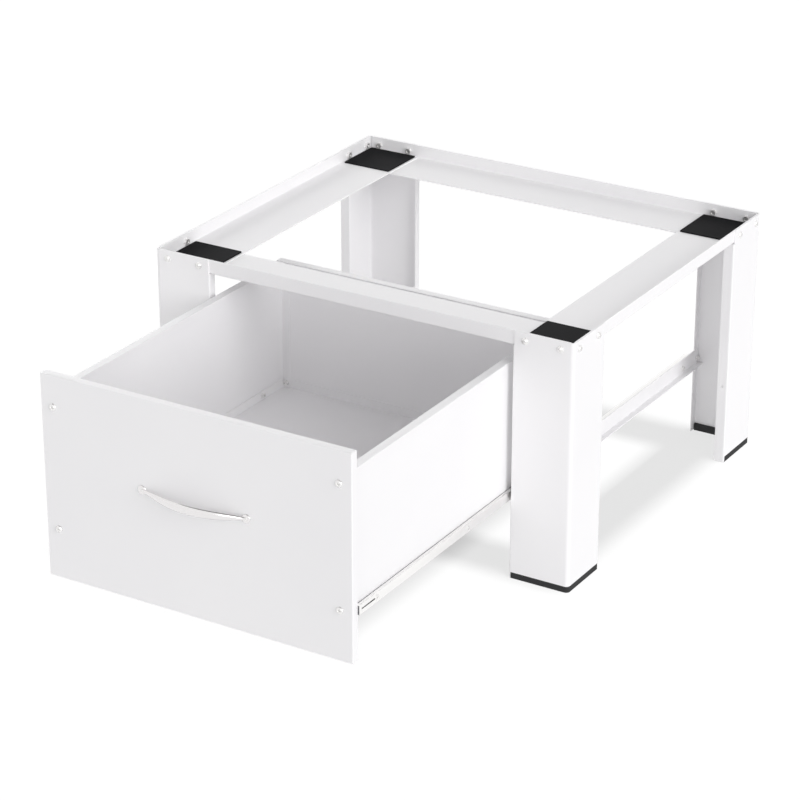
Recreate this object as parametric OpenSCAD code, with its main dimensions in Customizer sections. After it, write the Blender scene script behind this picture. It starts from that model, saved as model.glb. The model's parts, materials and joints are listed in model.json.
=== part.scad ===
// Pedestal for a front-loading laundry machine, with a drawer on ball-bearing slides.
// Four folded legs carry a tray of four angle rails, and the machine stands on pads in the corners.
// The frame is modelled round its own middle, with the front at -Y, and place() then sets the origin
// on the floor under the middle of the whole pedestal as it stands with the drawer drawn out.

/* [Frame] */
// Width over the legs
frame_w = 630; // [600:1:700]
// Depth over the legs
frame_d = 540; // [530:1:620]
// Height of the rails' top edge above the floor
frame_h = 345; // [335:1:420]
// Sheet thickness of the legs and rails
frame_t = 1.5; // [1.2:0.1:2]
// Height of a rail's upright wall
rail_h = 20; // [20:0.5:28]
// Width that the side rails' flanges cover, from the legs' outer face
side_flange = 85; // [82:0.5:100]
// Width that the front and rear rails' flanges cover, from the legs' outer face
end_flange = 82; // [80:0.5:100]
// Outer bend radius of the rails
rail_bend = 2.5; // [2.5:0.1:4]

/* [Legs] */
// Width of a leg's front or rear face
leg_w = 86; // [80:0.5:95]
// Width of a leg's side face
leg_d = 82; // [78:0.5:95]
// Outer radius of a leg's corner fold
leg_bend = 5.5; // [5:0.5:9]
// Width of the return lip on a leg's side face
side_lip = 15; // [13:0.5:20]
// Width of the return lip on a leg's front or rear face
end_lip = 12; // [11:0.5:16]
// Height of the lips' lower edge above the floor
lip_lift = 1; // [0.5:0.1:2]
// Visible height of a rubber foot
foot_h = 8.5; // [6:0.5:14]
// Height that a foot's inner layer reaches up behind the leg
foot_hook = 2; // [1:0.5:6]
// Thickness of a foot's inner layer
foot_t = 3; // [2:0.25:3.5]

/* [Pads] */
// Side length of a machine pad
pad_w = 75; // [60:1:77]
// Thickness of a machine pad
pad_t = 1.75; // [1:0.25:3]
// Corner radius of a machine pad
pad_r = 1.5; // [1:0.5:8]

/* [Beams] */
// Height of the slides' middle above the floor
slide_z = 114.5; // [95:0.5:160]
// Sheet thickness of the beams that carry the slides
beam_t = 1.2; // [1:0.1:1.5]
// Height of a beam's web above the slides' middle
beam_rise = 12.5; // [11:0.5:18]
// Depth of a beam's web below the slides' middle
beam_drop = 10; // [10:0.5:16]
// Width of a beam's lower flange, outwards
beam_flange = 9; // [6:0.5:20]
// Depth of the beams' screws below the slides' middle
beam_screw_drop = 1.5; // [0:0.5:3]

/* [Slides] */
// Distance from the slides' rear end to the rear of the frame
slide_rear_room = 27; // [20:1:40]
// Room that a slide takes between beam and drawer
slide_room = 10; // [9.1:0.1:10.5]
// Diameter of the bearing balls
ball_d = 3.2; // [3:0.1:3.2]
// Web thickness of the slide members
slide_t = 1.2; // [1:0.1:1.3]
// Flange thickness of the slide members
race_t = 1.9; // [1.6:0.1:2.2]
// Half height of the inner member
inner_half = 6.3; // [6:0.1:6.6]
// Balls in each row of a cage
ball_count = 6; // [4:1:6]
// Distance from the outer member's front end to its front screw
outer_hole_front = 35; // [25:1:60]
// Distance from the outer member's front end to its middle screw
outer_hole_middle = 220; // [150:1:300]
// Distance from the outer member's rear end to its rear screw
outer_hole_rear = 26; // [15:1:60]
// Distance from the inner member's front end to its front screw
inner_hole_front = 40; // [38:1:60]
// Distance from the inner member's front end to its middle screw
inner_hole_middle = 256; // [150:1:300]
// Distance from the inner member's rear end to its rear screw
inner_hole_rear = 38; // [15:1:60]

/* [Drawer] */
// Distance that the drawer is drawn out
drawer_open = 370; // [300:1:372]
// Sheet thickness of the drawer
drawer_t = 1; // [0.8:0.1:1.2]
// Gap between the drawer front and each leg
front_gap = 4.5; // [3:0.5:6]
// Gap between the drawer front and the front rail
front_top_gap = 2; // [1.5:0.5:6]
// Height of the drawer front's lower edge above the floor
front_lift = 46.5; // [35:0.5:80]
// Depth of the drawer front's folded edge
front_depth = 11; // [9:0.5:12]
// Bend radius of the drawer front's edges
front_bend = 1.5; // [1.3:0.1:3]
// Drop from the drawer front's top edge to the box's top edge
box_drop = 26; // [20:0.5:60]
// Depth of the box below the slides' middle
box_foot = 8; // [8:0.5:9]
// Gap between the closed drawer and the rear of the frame
box_rear_gap = 11; // [4:0.5:20]
// Width of the flange along the box's top edge
box_flange = 12; // [10:0.5:16]
// Width of the side panels' flanges behind the drawer front
box_front_flange = 25; // [22:0.5:30]
// Height of the bottom panel's upturned edges
tray_edge = 13; // [12.5:0.5:20]
// Play between the bottom panel and the side panels
tray_play = 0.1; // [0.05:0.05:0.3]

/* [Handle] */
// Distance between the handle's feet
handle_span = 152; // [96:1:200]
// Height of the handle above the drawer front's lower edge
handle_rise = 155; // [80:0.5:230]
// Distance from the drawer front to the middle of the bow
handle_reach = 18; // [15:0.5:32]
// Height of the bow in its middle
handle_h = 12; // [8:0.5:18]
// Thickness of the bow in its middle
handle_t = 6; // [4:0.5:8]
// Height and thickness of the bow where it meets a foot
handle_tip = 4.5; // [3.5:0.25:6]
// Diameter of a foot's rosette
handle_foot_d = 12; // [10:0.5:16]

/* [Fasteners] */
// Thread diameter of the frame screws
frame_screw_d = 5; // [4:0.5:5]
// Thread diameter of the drawer, beam and inner slide screws
small_screw_d = 4; // [3:0.5:4]
// Thread diameter of the outer slide members' screws
outer_screw_d = 3.5; // [3:0.5:4]
// Distance from a leg's outer corner to its first screw, across its front
leg_screw_x = 19; // [16:0.5:24]
// Distance from a leg's outer corner to its first screw, along its side
leg_screw_y = 14.5; // [14:0.5:20]
// Distance between the two screws of a leg face
leg_screw_pitch = 50; // [40:0.5:52]
// Distance from the box's outer face to the drawer front's screws
front_screw_x = 13.8; // [12:0.1:16]
// Depth of the upper drawer screws below the box's top edge
upper_screw_drop = 16.5; // [10:0.5:30]

/* [Hidden] */
$fn = 64;

// Clearances
play = 0.2;            // between folded sheets that only lie beside each other
hole_play = 0.2;       // round a screw in its hole
nut_play = 0.05;       // between a nut and its screw
race_play = 0.05;      // between a ball and its races
slide_end_gap = 1;     // between the slides and the legs' lips
screw_reach = 20;      // length of the tools that cut holes through sheets
cut = 1;               // overrun of other cutting tools

// Frame
frame_mid_x = frame_w / 2;
frame_mid_y = frame_d / 2;
rail_bottom = frame_h - rail_h;
end_flange_top = rail_bottom + frame_t;
side_flange_top = end_flange_top + frame_t;
lip_bend = frame_t + 0.5;
lip_top = rail_bottom - play;
foot_end_gap = lip_bend + play;
wall_inset = 2 * frame_t;
pad_top = side_flange_top + pad_t;
pad_outer_x = frame_mid_x - wall_inset - nut_h(frame_screw_d) - play;
pad_outer_y = frame_mid_y - wall_inset - nut_h(frame_screw_d) - play;
leg_screw_z = pad_top + nut_af(frame_screw_d) / 2 + play;
frame_grip = 2 * frame_t + nut_run(frame_screw_d);

// Beams and slides, measured from the frame's middle
beam_face = frame_mid_x - leg_w + frame_t;
beam_end_y = frame_mid_y - lip_bend - play;
beam_screw_y = frame_mid_y - (end_lip + frame_t) / 2;
beam_screw_z = slide_z - beam_screw_drop;
slide_front_y = -frame_mid_y + end_lip + slide_end_gap;
slide_rear_y = frame_mid_y - slide_rear_room;
slide_len = slide_rear_y - slide_front_y;
outer_holes = [outer_hole_front, outer_hole_middle, slide_len - outer_hole_rear];
inner_holes = [inner_hole_front, inner_hole_middle, slide_len - inner_hole_rear];
race_gap = 1.8;        // between the flanges of the two members, which the balls bridge
outer_race = inner_half + race_gap;
outer_half = outer_race + race_t;
ball_row = (inner_half + outer_race) / 2;
ball_u = 6;            // from the beam to the middle of the balls
outer_reach = 7.5;     // from the beam to the edge of the outer member's flanges
inner_face = 4.3;      // from the beam to the inner member
cage_t = 0.8;
cage_web_t = 0.6;
cage_end = 10;         // from the last ball to the end of its cage
cage_room = 9;         // from the cage's ends to the ends of the stretch where the members overlap
cage_web_u = (slide_t + inner_face - cage_web_t) / 2;

// Slot near the front end of the inner member
slot_start = 6;
slot_len = 30;
slot_h = 2;

// Drawer, at the place where it stands drawn out
box_half = beam_face - slide_room;
front_half = frame_mid_x - leg_w - front_gap;
front_y = -frame_mid_y - drawer_open;
front_top = rail_bottom - front_top_gap;
front_back_y = front_y + front_depth;
box_top = front_top - box_drop;
box_bottom = slide_z - box_foot;
box_front_y = front_y + drawer_t;
box_rear_y = frame_mid_y - drawer_open - box_rear_gap;
back_return = box_flange;
brim_drop = 3 * drawer_t;    // height of the stretch below a top flange's bend
tray_inner = box_half - 2 * drawer_t - tray_play;
tab_r = 5;                   // half height of the tabs that the lower front screws hold
inner_front_y = front_back_y + play;
overlap_front_y = slide_front_y;
overlap_rear_y = inner_front_y + slide_len;
cage_mid_y = (overlap_front_y + overlap_rear_y) / 2;
cage_len = overlap_rear_y - overlap_front_y - 2 * cage_room;
ball_pitch = (cage_len - 2 * cage_end) / (ball_count - 1);
lower_screw_z = slide_z;
upper_screw_z = box_top - upper_screw_drop;
back_screw_x = box_half - drawer_t - (back_return - drawer_t) / 2;
front_screw_half = box_half - front_screw_x;
handle_z = front_lift + handle_rise;
handle_foot_h = 3;           // height of a foot's rosette at its rim
rosette_ease = 0.6;          // radius of a rosette's dome, as a share of its diameter
bow_curve = 1.3;             // fullness of the bow's outline
bow_swell = 0.8;             // how early the bow grows to its full height
handle_rings = 48;
handle_sides = 20;

// The origin lies under the middle of the box round the whole pedestal
reach_front = front_y - handle_reach - handle_t / 2;
reach_rear = frame_mid_y + head_h(frame_screw_d);
mid_y = (reach_front + reach_rear) / 2;

// Standard fastener proportions, from the thread diameter
function head_d(d) = 1.9 * d;
function head_h(d) = 0.55 * d;
function low_head_h(d) = 0.25 * d;
function nut_af(d) = d < 5 ? 1.75 * d : 1.6 * d;
function nut_h(d) = 0.8 * d;
// How far a screw runs into its nut
function nut_run(d) = 0.6 * d;

// Roundness of a screw's head and its cross recess, as shares of the thread diameter
dome_ease = 1.25;
cross_len = 1;
cross_w = 0.2;
cross_deep = 0.15;
// Radius of the ball that rounds a nut's corners, as a share of its width
nut_ball = 0.61;

function unit(v) = v / norm(v);

// ---------------------------------------------------------------- sheet-metal profiles

// A straight run of a folded sheet, from a to b along its middle line
module strip(a, b, t) {
    translate(a)
        rotate(atan2(b[1] - a[1], b[0] - a[0]))
            translate([0, -t / 2])
                square([norm(b - a), t]);
}

// A square bend of a folded sheet, where the middle line turns from way_in to way_out
module bend(corner, way_in, way_out, r, t) {
    reach = r + t;
    translate(corner - way_in * r + way_out * r)
        intersection() {
            difference() {
                circle(r + t / 2);
                circle(r - t / 2);
            }
            polygon([[0, 0], -way_out * reach, (way_in - way_out) * reach, way_in * reach]);
        }
}

// The section of a sheet of thickness t folded along path, with a middle-line radius at each bend
module folded(path, radii, t) {
    last = len(path) - 1;
    for (i = [0:last - 1]) {
        way = unit(path[i + 1] - path[i]);
        from = path[i] + way * (i == 0 ? 0 : radii[i - 1]);
        to = path[i + 1] - way * (i == last - 1 ? 0 : radii[i]);
        strip(from, to, t);
    }
    for (i = [1:last - 1])
        bend(path[i], unit(path[i] - path[i - 1]), unit(path[i + 1] - path[i]), radii[i - 1], t);
}

// Lays a section drawn in X and Z along Y, from y0 to y1
module along_y(y0, y1) {
    translate([0, y1, 0])
        rotate([90, 0, 0])
            linear_extrude(y1 - y0)
                children();
}

// Lays a section drawn in Y and Z along X, from x0 to x1
module along_x(x0, x1) {
    translate([x0, 0, 0])
        rotate([90, 0, 90])
            linear_extrude(x1 - x0)
                children();
}

// Stands a section drawn in X and Y from z0 to z1
module upright(z0, z1) {
    translate([0, 0, z0])
        linear_extrude(z1 - z0)
            children();
}

module flip_x(turned) {
    mirror([turned ? 1 : 0, 0, 0])
        children();
}

module flip_y(turned) {
    mirror([0, turned ? 1 : 0, 0])
        children();
}

// ---------------------------------------------------------------- fasteners

// A screw along +Z with a domed head of height h, whose seat is at z = 0, and a cross recess.
// The shank runs down from the seat by grip.
module screw(d, grip, h) {
    r = head_d(d) / 2;
    dome = (r * r + h * h) / (2 * h) * dome_ease;
    difference() {
        rotate_extrude()
            intersection() {
                square([r, h]);
                translate([0, h - dome])
                    circle(dome);
            }
        for (turn = [0, 90])
            rotate(turn)
                translate([-d * cross_len / 2, -d * cross_w / 2, h - d * cross_deep])
                    cube([d * cross_len, d * cross_w, d]);
    }
    translate([0, 0, -grip])
        cylinder(d = d, h = grip);
}

// A hexagon nut along +Z from z = 0, with its bore
module nut(d) {
    difference() {
        intersection() {
            cylinder(d = nut_af(d) / cos(30), h = nut_h(d), $fn = 6);
            rotate_extrude()
                translate([0, nut_h(d) / 2])
                    intersection() {
                        circle(nut_af(d) * nut_ball);
                        translate([0, -nut_h(d) / 2])
                            square([nut_af(d), nut_h(d)]);
                    }
        }
        translate([0, 0, -cut])
            cylinder(r = d / 2 + nut_play, h = nut_h(d) + 2 * cut);
    }
}

module facing_front() {
    rotate([90, 0, 0])
        children();
}

module facing_rear() {
    rotate([-90, 0, 0])
        children();
}

module facing_right() {
    rotate([0, 90, 0])
        children();
}

module facing_left() {
    rotate([0, -90, 0])
        children();
}

// A round hole along Y or X, through everything within reach
module hole_y(d) {
    facing_front()
        cylinder(r = d / 2 + hole_play, h = screw_reach, center = true);
}

module hole_x(d) {
    facing_right()
        cylinder(r = d / 2 + hole_play, h = screw_reach, center = true);
}

// ---------------------------------------------------------------- frame

// Puts its children at the two screws of each leg's front or rear face, on one end of the frame
module at_end_screws() {
    for (side = [-1, 1], step = [0, 1])
        translate([side * (frame_mid_x - leg_screw_x - step * leg_screw_pitch), 0, leg_screw_z])
            children();
}

// Puts its children at the two screws of each leg's side face, on one side of the frame
module at_side_screws() {
    for (end = [-1, 1], step = [0, 1])
        translate([0, end * (frame_mid_y - leg_screw_y - step * leg_screw_pitch), leg_screw_z])
            children();
}

// The front rail: the wall stands on the flange's outer edge, and the flange lies under the tray
module end_rail() {
    outer = -frame_mid_y + frame_t;
    half = frame_mid_x - leg_bend;
    r = rail_bend - frame_t / 2;
    path = [[outer + frame_t / 2, frame_h],
            [outer + frame_t / 2, rail_bottom + frame_t / 2],
            [-frame_mid_y + end_flange, rail_bottom + frame_t / 2]];
    difference() {
        along_x(-half, half)
            folded(path, [r], frame_t);
        translate([0, outer, 0])
            at_end_screws()
                hole_y(frame_screw_d);
    }
}

// The left rail: its flange lies on the front and rear rails' flanges
module side_rail() {
    outer = -frame_mid_x + frame_t;
    half = frame_mid_y - leg_bend;
    r = rail_bend - frame_t / 2;
    path = [[outer + frame_t / 2, frame_h],
            [outer + frame_t / 2, end_flange_top + frame_t / 2],
            [-frame_mid_x + side_flange, end_flange_top + frame_t / 2]];
    difference() {
        along_y(-half, half)
            folded(path, [r], frame_t);
        translate([outer, 0, 0])
            at_side_screws()
                hole_x(frame_screw_d);
    }
}

module rail_front() {
    color("whitesmoke")
        end_rail();
}

module rail_rear() {
    color("whitesmoke")
        flip_y(true)
            end_rail();
}

module rail_left() {
    color("whitesmoke")
        side_rail();
}

module rail_right() {
    color("whitesmoke")
        flip_x(true)
            side_rail();
}

// A leg's section, with the outer corner at the origin, its front face along X and side face along Y
module leg_section(with_lips) {
    m = frame_t / 2;
    fold = leg_bend - m;
    lip_fold = lip_bend - m;
    plain = [[leg_w - lip_bend, m], [m, m], [m, leg_d - lip_bend]];
    lipped = [[leg_w - m, end_lip], [leg_w - m, m], [m, m], [m, leg_d - m], [side_lip, leg_d - m]];
    if (with_lips)
        folded(lipped, [lip_fold, fold, lip_fold], frame_t);
    else
        folded(plain, [fold], frame_t);
}

// The front left leg
module leg() {
    side_reach = leg_d - foot_end_gap;
    end_reach = leg_w - foot_end_gap;
    difference() {
        translate([-frame_mid_x, -frame_mid_y, 0]) {
            upright(lip_lift, lip_top)
                leg_section(true);
            upright(lip_top, frame_h)
                leg_section(false);
        }
        translate([-frame_mid_x - cut, -frame_mid_y - cut, 0]) {
            cube([end_reach + cut + play / 2, leg_bend + cut, foot_h]);
            cube([leg_bend + cut, side_reach + cut + play / 2, foot_h]);
        }
        translate([0, -frame_mid_y, 0])
            at_end_screws()
                hole_y(frame_screw_d);
        translate([-frame_mid_x, 0, 0])
            at_side_screws()
                hole_x(frame_screw_d);
        translate([-beam_face, -beam_screw_y, beam_screw_z])
            hole_x(small_screw_d);
        translate([-frame_mid_x + side_lip / 2, -frame_mid_y + leg_d, slide_z])
            hole_y(small_screw_d);
    }
}

module leg_at(right, rear) {
    color("whitesmoke")
        flip_x(right)
            flip_y(rear)
                leg();
}

module leg_front_left() { leg_at(false, false); }
module leg_front_right() { leg_at(true, false); }
module leg_rear_left() { leg_at(false, true); }
module leg_rear_right() { leg_at(true, true); }

// The rubber foot of the front left leg: the sheet stands on its outer layer and the inner layer
// hooks up behind the sheet
module foot() {
    m = frame_t / 2;
    inner_m = frame_t + foot_t / 2;
    end_reach = leg_w - foot_end_gap;
    side_reach = leg_d - foot_end_gap;
    translate([-frame_mid_x, -frame_mid_y, 0]) {
        upright(0, foot_h)
            folded([[end_reach, m], [m, m], [m, side_reach]], [leg_bend - m], frame_t);
        upright(0, foot_h + foot_hook)
            folded([[end_reach, inner_m], [inner_m, inner_m], [inner_m, side_reach]],
                   [leg_bend - inner_m], foot_t);
    }
}

module foot_at(right, rear) {
    color("#222222")
        flip_x(right)
            flip_y(rear)
                foot();
}

module foot_front_left() { foot_at(false, false); }
module foot_front_right() { foot_at(true, false); }
module foot_rear_left() { foot_at(false, true); }
module foot_rear_right() { foot_at(true, true); }

// The pad in the tray's front left corner
module pad() {
    x0 = -pad_outer_x + pad_r;
    y0 = -pad_outer_y + pad_r;
    x1 = -pad_outer_x + pad_w - pad_r;
    y1 = -pad_outer_y + pad_w - pad_r;
    upright(side_flange_top, pad_top) {
        translate([x0 - pad_r, y0])
            square([pad_w, y1 - y0]);
        translate([x0, y0 - pad_r])
            square([x1 - x0, pad_w]);
        for (x = [x0, x1], y = [y0, y1])
            translate([x, y])
                circle(pad_r);
    }
}

module pad_at(right, rear) {
    color("#1c1c1e")
        flip_x(right)
            flip_y(rear)
                pad();
}

module pad_front_left() { pad_at(false, false); }
module pad_front_right() { pad_at(true, false); }
module pad_rear_left() { pad_at(false, true); }
module pad_rear_right() { pad_at(true, true); }

module frame_screws() {
    color("silver") {
        for (rear = [false, true])
            flip_y(rear)
                translate([0, -frame_mid_y, 0])
                    at_end_screws()
                        facing_front()
                            screw(frame_screw_d, frame_grip, head_h(frame_screw_d));
        for (left = [false, true])
            flip_x(left)
                translate([frame_mid_x, 0, 0])
                    at_side_screws()
                        facing_right()
                            screw(frame_screw_d, frame_grip, head_h(frame_screw_d));
    }
}

module frame_nuts() {
    color("silver") {
        for (rear = [false, true])
            flip_y(rear)
                translate([0, -frame_mid_y + wall_inset, 0])
                    at_end_screws()
                        facing_rear()
                            nut(frame_screw_d);
        for (left = [false, true])
            flip_x(left)
                translate([-frame_mid_x + wall_inset, 0, 0])
                    at_side_screws()
                        facing_right()
                            rotate(30)
                                nut(frame_screw_d);
    }
}

// ---------------------------------------------------------------- beams and slides

// The right beam: a folded angle that runs between the legs and is screwed to their inner lips
module beam() {
    m = beam_t / 2;
    x = beam_face + m;
    r = beam_t;
    z0 = slide_z - beam_drop + m;
    difference() {
        along_y(-beam_end_y, beam_end_y)
            folded([[x, slide_z + beam_rise], [x, z0], [x + beam_flange, z0]], [r], beam_t);
        for (end = [-1, 1])
            translate([beam_face, end * beam_screw_y, beam_screw_z])
                hole_x(small_screw_d);
        for (y = outer_holes)
            translate([beam_face, slide_front_y + y, slide_z])
                hole_x(outer_screw_d);
    }
}

module beam_right() {
    color("whitesmoke")
        beam();
}

module beam_left() {
    color("whitesmoke")
        flip_x(true)
            beam();
}

// Puts its children at the screws that fix both beams to the legs' lips, facing the drawer
module at_beam_screws() {
    for (left = [false, true], end = [-1, 1])
        flip_x(left)
            translate([beam_face, end * beam_screw_y, beam_screw_z])
                facing_left()
                    children();
}

module beam_screws() {
    grip = frame_t + beam_t + nut_run(small_screw_d);
    color("silver")
        at_beam_screws()
            translate([0, 0, frame_t])
                screw(small_screw_d, grip, low_head_h(small_screw_d));
}

module beam_nuts() {
    color("silver")
        at_beam_screws()
            translate([0, 0, -beam_t - nut_h(small_screw_d)])
                nut(small_screw_d);
}

// The balls' grooves, drawn as circles at both rows of a slide's section. A slide's section is drawn
// with u along X from the beam towards the drawer and v along Y from the slide's middle.
module races() {
    for (row = [-1, 1])
        translate([ball_u, row * ball_row])
            circle(ball_d / 2 + race_play);
}

// Lays a slide's section on the right side of the frame, from y0 to y1
module slide_along(y0, y1) {
    translate([beam_face, 0, slide_z])
        along_y(y0, y1)
            mirror([1, 0])
                children();
}

module slide_outer() {
    difference() {
        slide_along(slide_front_y, slide_rear_y)
            difference() {
                translate([0, -outer_half])
                    square([outer_reach, 2 * outer_half]);
                translate([slide_t, -outer_race])
                    square([outer_reach, 2 * outer_race]);
                races();
            }
        for (y = outer_holes)
            translate([beam_face, slide_front_y + y, slide_z])
                hole_x(outer_screw_d);
    }
}

module slide_outer_right() {
    color("gainsboro")
        slide_outer();
}

module slide_outer_left() {
    color("gainsboro")
        flip_x(true)
            slide_outer();
}

// Puts its children at the screws that fix the outer members to the beams, facing the drawer
module at_outer_screws() {
    for (left = [false, true], y = outer_holes)
        flip_x(left)
            translate([beam_face, slide_front_y + y, slide_z])
                facing_left()
                    children();
}

module slide_outer_screws() {
    grip = slide_t + beam_t + nut_run(outer_screw_d);
    color("silver")
        at_outer_screws()
            translate([0, 0, slide_t])
                screw(outer_screw_d, grip, low_head_h(outer_screw_d));
}

module slide_outer_nuts() {
    color("silver")
        at_outer_screws()
            translate([0, 0, -beam_t - nut_h(outer_screw_d)])
                nut(outer_screw_d);
}

// Puts its children at every ball of the right slide
module at_balls() {
    for (row = [-1, 1], i = [0:ball_count - 1])
        translate([beam_face - ball_u,
                   cage_mid_y + (i - (ball_count - 1) / 2) * ball_pitch,
                   slide_z + row * ball_row])
            children();
}

// A ball cage: a thin channel that goes round the inner member, with a pocket for each ball
module ball_cage() {
    edge = ball_row + cage_t / 2;
    difference() {
        slide_along(cage_mid_y - cage_len / 2, cage_mid_y + cage_len / 2)
            difference() {
                translate([cage_web_u, -edge])
                    square([ball_u + ball_d / 2 + race_play + cage_t - cage_web_u, 2 * edge]);
                translate([cage_web_u + cage_web_t, -edge + cage_t])
                    square([outer_reach, 2 * (edge - cage_t)]);
            }
        at_balls()
            cylinder(r = ball_d / 2 + race_play, h = 2 * cage_t, center = true);
    }
}

module ball_cage_right() {
    color("goldenrod")
        ball_cage();
}

module ball_cage_left() {
    color("goldenrod")
        flip_x(true)
            ball_cage();
}

module slide_balls_right() {
    color("silver")
        at_balls()
            sphere(d = ball_d);
}

module slide_balls_left() {
    color("silver")
        flip_x(true)
            slide_balls_right();
}

// The inner member: its web faces the beam and its flanges stand on the drawer's side
module slide_inner() {
    difference() {
        slide_along(inner_front_y, inner_front_y + slide_len)
            difference() {
                translate([inner_face, -inner_half])
                    square([slide_room - inner_face, 2 * inner_half]);
                translate([inner_face + slide_t, -inner_half + race_t])
                    square([slide_room, 2 * (inner_half - race_t)]);
                races();
            }
        for (y = inner_holes)
            translate([beam_face - inner_face, inner_front_y + y, slide_z])
                hole_x(small_screw_d);
        translate([beam_face - inner_face - 2 * slide_t, inner_front_y + slot_start, slide_z - slot_h / 2])
            cube([3 * slide_t, slot_len, slot_h]);
    }
}

module slide_inner_right() {
    color("gainsboro")
        slide_inner();
}

module slide_inner_left() {
    color("gainsboro")
        flip_x(true)
            slide_inner();
}

module slide_inner_screws() {
    head_x = beam_face - inner_face;
    grip = head_x - tray_inner + nut_run(small_screw_d);
    color("silver")
        for (left = [false, true], y = inner_holes)
            flip_x(left)
                translate([head_x, inner_front_y + y, slide_z])
                    facing_right()
                        screw(small_screw_d, grip, low_head_h(small_screw_d));
}

module slide_inner_nuts() {
    color("silver")
        for (left = [false, true], y = inner_holes)
            flip_x(left)
                translate([tray_inner - nut_h(small_screw_d), inner_front_y + y, slide_z])
                    facing_right()
                        nut(small_screw_d);
}

// ---------------------------------------------------------------- drawer

// A block with rounded front edges and corners, from the drawer front's lower left corner
module rounded_slab(w, depth, h, r) {
    translate([r, 0, r])
        cube([w - 2 * r, depth, h - 2 * r]);
    translate([0, r, r])
        cube([w, depth - r, h - 2 * r]);
    translate([r, r, 0])
        cube([w - 2 * r, depth - r, h]);
    for (x = [r, w - r]) {
        translate([x, r, r])
            cylinder(r = r, h = h - 2 * r);
        for (z = [r, h - r]) {
            translate([x, depth, z])
                facing_front()
                    cylinder(r = r, h = depth - r);
            translate([x, r, z])
                sphere(r);
        }
    }
    for (z = [r, h - r])
        translate([r, r, z])
            facing_right()
                cylinder(r = r, h = w - 2 * r);
}

// The drawer front: a shallow pan, folded back on all four edges and open behind
module drawer_front() {
    w = 2 * front_half;
    h = front_top - front_lift;
    t = drawer_t;
    color("whitesmoke")
        difference() {
            translate([-front_half, front_y, front_lift])
                difference() {
                    rounded_slab(w, front_depth, h, front_bend);
                    translate([t, t, t])
                        rounded_slab(w - 2 * t, front_depth, h - 2 * t, front_bend - t);
                }
            at_front_screws()
                hole_y(small_screw_d);
            at_handle_feet()
                hole_y(small_screw_d);
        }
}

module at_front_screws() {
    for (x = [-front_screw_half, front_screw_half], z = [lower_screw_z, upper_screw_z])
        translate([x, front_y, z])
            children();
}

module at_back_screws() {
    for (x = [-back_screw_x, back_screw_x], z = [lower_screw_z, upper_screw_z])
        translate([x, box_rear_y, z])
            children();
}

module at_handle_feet() {
    for (x = [-handle_span / 2, handle_span / 2])
        translate([x, front_y, handle_z])
            children();
}

// The right side panel: flanged over the top and behind both ends
module drawer_side() {
    t = drawer_t;
    m = t / 2;
    r = t;
    back_face = box_rear_y - t;
    plan = [[box_half - box_front_flange, box_front_y + m],
            [box_half - m, box_front_y + m],
            [box_half - m, back_face - m],
            [box_half - back_return, back_face - m]];
    brim = [[box_half - m, box_top - brim_drop],
            [box_half - m, box_top - m],
            [box_half - box_flange, box_top - m]];
    difference() {
        union() {
            upright(box_bottom, box_top - t - play)
                folded(plan, [r, r], t);
            along_y(box_front_y + r + m, back_face - r - m)
                folded(brim, [r], t);
        }
        at_front_screws()
            hole_y(small_screw_d);
        at_back_screws()
            hole_y(small_screw_d);
        for (y = inner_holes)
            translate([box_half, inner_front_y + y, slide_z])
                hole_x(small_screw_d);
    }
}

module drawer_side_right() {
    color("whitesmoke")
        drawer_side();
}

module drawer_side_left() {
    color("whitesmoke")
        flip_x(true)
            drawer_side();
}

// The back panel closes the box behind the side panels, and its flange lies on their top flanges
module drawer_back() {
    t = drawer_t;
    m = t / 2;
    r = t;
    brim = [[box_rear_y - m, box_top - brim_drop],
            [box_rear_y - m, box_top + m],
            [box_rear_y - box_flange, box_top + m]];
    color("whitesmoke")
        difference() {
            union() {
                translate([-box_half, box_rear_y - t, box_bottom])
                    cube([2 * box_half, t, box_top - brim_drop - box_bottom]);
                along_x(-box_half, box_half)
                    folded(brim, [r], t);
            }
            at_back_screws()
                hole_y(small_screw_d);
        }
}

// The bottom panel: a tray that lies between the side panels, with upturned edges
module drawer_bottom() {
    t = drawer_t;
    m = t / 2;
    r = t;
    half = box_half - t - tray_play;
    z0 = box_bottom + m;
    z1 = box_bottom + t + tray_edge;
    y0 = box_front_y + t;
    y1 = box_rear_y - t;
    corner = r + m + play;
    end_half = box_half - back_return - play;
    color("whitesmoke")
        difference() {
            union() {
                along_y(y0 + corner, y1 - t - corner)
                    folded([[-half + m, z1], [-half + m, z0], [half - m, z0], [half - m, z1]], [r, r], t);
                along_x(-end_half, end_half)
                    folded([[y0 + m, z1], [y0 + m, z0], [y1 - m, z0], [y1 - m, z1]], [r, r], t);
                for (left = [false, true])
                    flip_x(left)
                        translate([end_half - t, y0, lower_screw_z - tab_r])
                            cube([front_screw_half + tab_r - end_half + t, t, 2 * tab_r]);
            }
            at_front_screws()
                hole_y(small_screw_d);
            for (left = [false, true], y = inner_holes)
                flip_x(left)
                    translate([tray_inner, inner_front_y + y, slide_z])
                        hole_x(small_screw_d);
        }
}

module front_screws() {
    nut_seat = 2 * drawer_t;
    color("silver")
        at_front_screws()
            facing_front()
                screw(small_screw_d, nut_seat + drawer_t + nut_run(small_screw_d),
                      head_h(small_screw_d));
}

// The lower nuts sit one sheet further back, on the bottom panel's tabs
module front_nuts() {
    color("silver")
        for (x = [-front_screw_half, front_screw_half]) {
            translate([x, front_y + 3 * drawer_t, lower_screw_z])
                facing_rear()
                    rotate(30)
                        nut(small_screw_d);
            translate([x, front_y + 2 * drawer_t, upper_screw_z])
                facing_rear()
                    rotate(30)
                        nut(small_screw_d);
        }
}

module back_screws() {
    color("silver")
        at_back_screws()
            facing_rear()
                screw(small_screw_d, 2 * drawer_t + nut_run(small_screw_d),
                      head_h(small_screw_d));
}

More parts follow.
